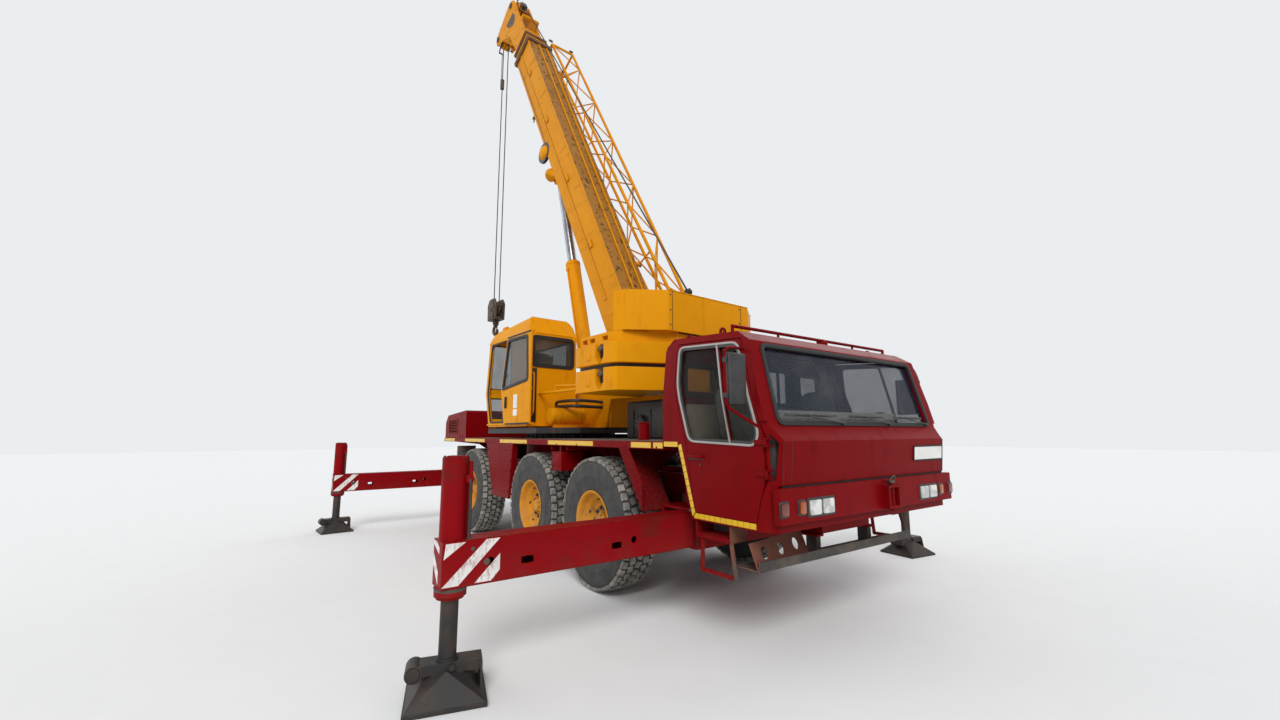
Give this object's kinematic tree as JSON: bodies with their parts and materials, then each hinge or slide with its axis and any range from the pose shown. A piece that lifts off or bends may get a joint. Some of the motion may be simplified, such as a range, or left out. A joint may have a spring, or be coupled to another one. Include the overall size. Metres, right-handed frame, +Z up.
{
  "type": "mobile crane",
  "caption": "Telescopic mobile crane on a wheeled carrier, boom raised over the rear, outriggers out, stowed lattice jib, driver's cab and slewing operator's cab.",
  "frame": {"origin": "centre of the bounding box's bottom face, on the ground, with the boom parked over the rear", "axes": "+X towards the front of the carrier, +Y to its left, +Z up; metres"},
  "size_m": [8.822, 6.6902, 11.4923],
  "materials": {
    "bare_steel": "bare steel with a film of rust",
    "block_paint": "dark greasy paint of the hook block",
    "carrier_red": "dark crimson carrier paint with dust and scratches",
    "cast_grey": "oily cast iron",
    "chrome_rod": "hard chrome cylinder rod",
    "crane_yellow": "sun-faded yellow-orange paint with chips, dust and rust runs",
    "foot_black": "worn black paint on the jack rods and feet",
    "glass": "slightly dirty safety glass",
    "interior": "worn cream and grey cab trim",
    "lamp_glass": "lamp lens",
    "mirror_plastic": "black plastic mirror housing",
    "rim_paint": "yellow rim paint with rust and dirt",
    "tyre_rubber": "worn dusty tyre rubber"
  },
  "bodies": {
    "carrier": {"chassis_frame": "carrier_red", "axles": "cast_grey", "deck": "carrier_red", "side_guards": "carrier_red", "rear_hood": "carrier_red", "engine_block": "cast_grey", "carrier_cab": "carrier_red", "cab_glass": "glass", "cab_interior": "interior", "front_bumper": "carrier_red", "lamps": "lamp_glass", "roof_rail": "carrier_red", "access_steps": "carrier_red"},
    "superstructure": {"turntable": "crane_yellow", "counterweight": "crane_yellow", "tail_housing": "crane_yellow", "operator_cab": "crane_yellow", "operator_cab_glass": "glass", "operator_seat": "interior"},
    "sliding_door": {"operator_door": "crane_yellow", "operator_door_glass": "glass"},
    "winch": {"winch_drum": "bare_steel"},
    "boom": {"boom_base": "crane_yellow", "jib": "crane_yellow"},
    "telescope_inner": {"boom_middle": "crane_yellow"},
    "telescope_head": {"boom_head": "crane_yellow"},
    "cylinder_rod": {"luff_rod": "chrome_rod"},
    "cylinder_barrel": {"luff_barrel": "crane_yellow"},
    "limit_switch": {"limit_weight": "crane_yellow"},
    "hook": {"hook_block": "block_paint"},
    "wheel_1_left": {"tyre_1_left": "tyre_rubber", "rim_1_left": "rim_paint"},
    "knuckle_1_left": {"knuckle_1_left": "cast_grey"},
    "wheel_1_right": {"tyre_1_right": "tyre_rubber", "rim_1_right": "rim_paint"},
    "knuckle_1_right": {"knuckle_1_right": "cast_grey"},
    "wheel_2_left": {"tyre_2_left": "tyre_rubber", "rim_2_left": "rim_paint"},
    "knuckle_2_left": {"knuckle_2_left": "cast_grey"},
    "wheel_2_right": {"tyre_2_right": "tyre_rubber", "rim_2_right": "rim_paint"},
    "knuckle_2_right": {"knuckle_2_right": "cast_grey"},
    "wheel_3_left": {"tyre_3_left": "tyre_rubber", "rim_3_left": "rim_paint"},
    "wheel_3_right": {"tyre_3_right": "tyre_rubber", "rim_3_right": "rim_paint"},
    "door_left": {"cab_door_left": "carrier_red", "cab_door_glass_left": "glass", "mirror_left": "mirror_plastic"},
    "door_right": {"cab_door_right": "carrier_red", "cab_door_glass_right": "glass", "mirror_right": "mirror_plastic"},
    "beam_front_left": {"outrigger_beam_front_left": "carrier_red"},
    "foot_front_left": {"jack_front_left": "foot_black"},
    "beam_front_right": {"outrigger_beam_front_right": "carrier_red"},
    "foot_front_right": {"jack_front_right": "foot_black"},
    "beam_rear_left": {"outrigger_beam_rear_left": "carrier_red"},
    "foot_rear_left": {"jack_rear_left": "foot_black"},
    "beam_rear_right": {"outrigger_beam_rear_right": "carrier_red"},
    "foot_rear_right": {"jack_rear_right": "foot_black"}
  },
  "joints": [
    {"name": "steer_1_left", "type": "hinge", "parent": "carrier", "child": "knuckle_1_left", "pos_m": [1.851, 0.85, 0.685], "axis": [0, 0, 1], "range_deg": [-35, 35]},
    {"name": "wheel_1_left_spin", "type": "hinge", "parent": "knuckle_1_left", "child": "wheel_1_left", "pos_m": [1.851, 1.09, 0.685], "axis": [0, 1, 0], "continuous": true},
    {"name": "steer_1_right", "type": "hinge", "parent": "carrier", "child": "knuckle_1_right", "pos_m": [1.851, -0.85, 0.685], "axis": [0, 0, 1], "range_deg": [-35, 35]},
    {"name": "wheel_1_right_spin", "type": "hinge", "parent": "knuckle_1_right", "child": "wheel_1_right", "pos_m": [1.851, -1.09, 0.685], "axis": [0, 1, 0], "continuous": true},
    {"name": "steer_2_left", "type": "hinge", "parent": "carrier", "child": "knuckle_2_left", "pos_m": [0.261, 0.85, 0.685], "axis": [0, 0, 1], "range_deg": [-22, 22]},
    {"name": "wheel_2_left_spin", "type": "hinge", "parent": "knuckle_2_left", "child": "wheel_2_left", "pos_m": [0.261, 1.09, 0.685], "axis": [0, 1, 0], "continuous": true},
    {"name": "steer_2_right", "type": "hinge", "parent": "carrier", "child": "knuckle_2_right", "pos_m": [0.261, -0.85, 0.685], "axis": [0, 0, 1], "range_deg": [-22, 22]},
    {"name": "wheel_2_right_spin", "type": "hinge", "parent": "knuckle_2_right", "child": "wheel_2_right", "pos_m": [0.261, -1.09, 0.685], "axis": [0, 1, 0], "continuous": true},
    {"name": "wheel_3_left_spin", "type": "hinge", "parent": "carrier", "child": "wheel_3_left", "pos_m": [-2.183, 1.09, 0.685], "axis": [0, 1, 0], "continuous": true},
    {"name": "wheel_3_right_spin", "type": "hinge", "parent": "carrier", "child": "wheel_3_right", "pos_m": [-2.183, -1.09, 0.685], "axis": [0, 1, 0], "continuous": true},
    {"name": "cab_door_left_hinge", "type": "hinge", "parent": "carrier", "child": "door_left", "pos_m": [4.256, 1.262, 1.35], "axis": [0, 0, -1], "range_deg": [0, 70]},
    {"name": "cab_door_right_hinge", "type": "hinge", "parent": "carrier", "child": "door_right", "pos_m": [4.256, -1.262, 1.35], "axis": [0, 0, 1], "range_deg": [0, 70]},
    {"name": "beam_front_left_slide", "type": "slide", "parent": "carrier", "child": "beam_front_left", "axis": [0, -1, 0], "range_m": [0, 1.885]},
    {"name": "jack_front_left_slide", "type": "slide", "parent": "beam_front_left", "child": "foot_front_left", "axis": [0, 0, 1], "range_m": [-0.25, 0.34]},
    {"name": "beam_front_right_slide", "type": "slide", "parent": "carrier", "child": "beam_front_right", "axis": [0, 1, 0], "range_m": [0, 1.885]},
    {"name": "jack_front_right_slide", "type": "slide", "parent": "beam_front_right", "child": "foot_front_right", "axis": [0, 0, 1], "range_m": [-0.25, 0.34]},
    {"name": "beam_rear_left_slide", "type": "slide", "parent": "carrier", "child": "beam_rear_left", "axis": [0, -1, 0], "range_m": [0, 1.885]},
    {"name": "jack_rear_left_slide", "type": "slide", "parent": "beam_rear_left", "child": "foot_rear_left", "axis": [0, 0, 1], "range_m": [-0.25, 0.34]},
    {"name": "beam_rear_right_slide", "type": "slide", "parent": "carrier", "child": "beam_rear_right", "axis": [0, 1, 0], "range_m": [0, 1.885]},
    {"name": "jack_rear_right_slide", "type": "slide", "parent": "beam_rear_right", "child": "foot_rear_right", "axis": [0, 0, 1], "range_m": [-0.25, 0.34]},
    {"name": "slew", "type": "hinge", "parent": "carrier", "child": "superstructure", "pos_m": [-0.949, 0, 1.51], "axis": [0, 0, 1], "continuous": true},
    {"name": "boom_luff", "type": "hinge", "parent": "superstructure", "child": "boom", "pos_m": [0.88258, 0.11202, 2.839], "axis": [-0.061, 0.9981, 0], "range_deg": [-62.1, 15.9]},
    {"name": "telescope_inner", "type": "slide", "parent": "boom", "child": "telescope_inner", "axis": [-0.4671, -0.0286, 0.8838], "range_m": [0, 6.2]},
    {"name": "telescope_head", "type": "slide", "parent": "telescope_inner", "child": "telescope_head", "axis": [-0.4671, -0.0286, 0.8838], "range_m": [0, 6.2]},
    {"name": "cylinder_rod_pin", "type": "hinge", "parent": "boom", "child": "cylinder_rod", "pos_m": [-1.45266, -0.0308, 6.29606], "axis": [-0.061, 0.9981, 0], "range_deg": [-2.4, 0.8]},
    {"name": "cylinder_stroke", "type": "slide", "parent": "cylinder_rod", "child": "cylinder_barrel", "axis": [0.257, 0.0157, -0.9663], "range_m": [-1.5, 0.4]},
    {"name": "limit_switch_swing", "type": "hinge", "parent": "telescope_head", "child": "limit_switch", "pos_m": [-4.18969, -0.19821, 10.90234], "axis": [-0.061, 0.9981, 0], "range_deg": [-16.5, 62.7]},
    {"name": "hoist", "type": "slide", "parent": "limit_switch", "child": "hook", "axis": [0, 0, -1], "range_m": [-5.1, 3.7]},
    {"name": "winch_drum_turn", "type": "hinge", "parent": "superstructure", "child": "winch", "pos_m": [1.68608, 0.16117, 2.93], "axis": [0.061, -0.9981, 0], "continuous": true},
    {"name": "operator_door_slide", "type": "slide", "parent": "superstructure", "child": "sliding_door", "axis": [-0.9981, -0.061, 0], "range_m": [0, 0.645]}
  ],
  "couplings": [
    {"joint": "steer_1_right", "follows": "steer_1_left", "ratio": 1},
    {"joint": "steer_2_left", "follows": "steer_1_left", "ratio": 0.61},
    {"joint": "steer_2_right", "follows": "steer_1_left", "ratio": 0.61},
    {"joint": "telescope_head", "follows": "telescope_inner", "ratio": 1},
    {"joint": "cylinder_rod_pin", "follows": "boom_luff", "ratio": 0.035},
    {"joint": "cylinder_stroke", "follows": "boom_luff", "m_per_rad": 1.35},
    {"joint": "limit_switch_swing", "follows": "boom_luff", "ratio": -1}
  ]
}
